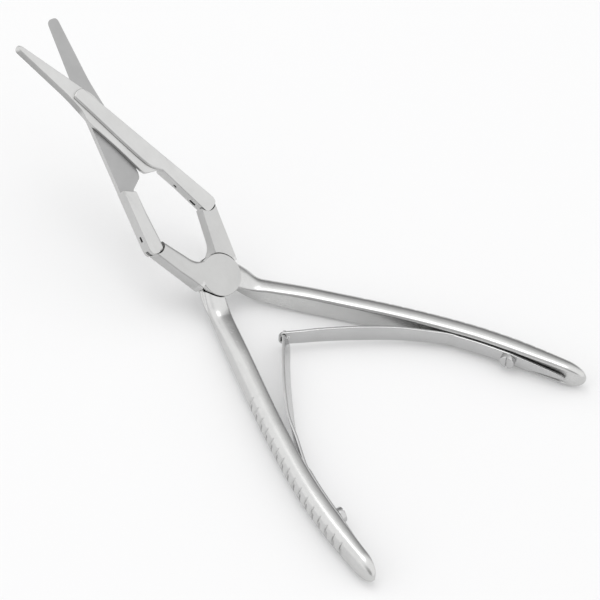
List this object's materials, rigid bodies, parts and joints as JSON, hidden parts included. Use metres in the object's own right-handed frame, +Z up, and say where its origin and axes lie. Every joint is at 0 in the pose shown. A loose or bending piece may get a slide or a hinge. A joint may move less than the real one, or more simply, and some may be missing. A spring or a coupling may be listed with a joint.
{
  "type": "double-action angled scissors",
  "caption": "Angled scissors with a compound lever linkage: short lapped blades, bowed grooved handles bent out of the blade plane, and hooked leaf springs that reopen them.",
  "frame": {"origin": "on the resting plane under the handles, at the middle of the object's footprint", "axes": "+X from the handle pivot towards the handle ends, +Y towards the upper handle, +Z up with the handles lying flat and the blades rising towards -X"},
  "size_m": [0.176, 0.0986, 0.0621],
  "materials": {
    "polished_steel": "polished stainless steel, slightly satin",
    "satin_steel": "fine satin ground stainless steel",
    "spring_steel": "bright rolled spring strip",
    "screw_steel": "turned stainless screw"
  },
  "bodies": {
    "lower_handle": {"lower_handle_lever": "polished_steel", "handle_pivot_pin": "satin_steel", "lower_spring_screw": "screw_steel"},
    "upper_handle": {"upper_handle_lever": "polished_steel", "upper_spring_screw": "screw_steel"},
    "top_blade": {"top_blade_lever": "satin_steel", "top_link_pin": "satin_steel", "blade_pivot_pin": "satin_steel"},
    "bottom_blade": {"bottom_blade_lever": "satin_steel", "bottom_link_pin": "satin_steel"},
    "upper_leaf": {"upper_leaf_spring": "spring_steel"},
    "lower_leaf": {"lower_leaf_spring": "spring_steel"}
  },
  "joints": [
    {"name": "handle_pivot", "type": "hinge", "parent": "lower_handle", "child": "upper_handle", "pos_m": [-0.01371, 0, 0.00955], "axis": [-0.5736, 0, -0.8192], "range_deg": [0, 46.3], "stiffness_Nm_per_rad": 1.2, "springref_deg": -5.73},
    {"name": "top_blade_link", "type": "hinge", "parent": "lower_handle", "child": "top_blade", "pos_m": [-0.02936, 0.0111, 0.0205], "axis": [-0.5736, 0, -0.8192], "range_deg": [0, 34.6]},
    {"name": "bottom_blade_link", "type": "hinge", "parent": "upper_handle", "child": "bottom_blade", "pos_m": [-0.02936, -0.0111, 0.0205], "axis": [-0.5736, 0, -0.8192], "range_deg": [-34.6, 0]},
    {"name": "upper_leaf_bend", "type": "hinge", "parent": "upper_handle", "child": "upper_leaf", "pos_m": [0.04373, 0.02887, 0.0042], "axis": [-0.5736, 0, -0.8192], "range_deg": [0, 16], "deforming": ["upper_leaf_spring"]},
    {"name": "lower_leaf_bend", "type": "hinge", "parent": "lower_handle", "child": "lower_leaf", "pos_m": [0.04373, -0.02887, 0.0042], "axis": [-0.5736, 0, -0.8192], "range_deg": [-16, 0], "deforming": ["lower_leaf_spring"]}
  ],
  "couplings": [
    {"joint": "top_blade_link", "follows": "handle_pivot", "ratio": 0.74625},
    {"joint": "bottom_blade_link", "follows": "handle_pivot", "ratio": -0.74625},
    {"joint": "upper_leaf_bend", "follows": "handle_pivot", "ratio": 0.3425},
    {"joint": "lower_leaf_bend", "follows": "handle_pivot", "ratio": -0.3425}
  ]
}
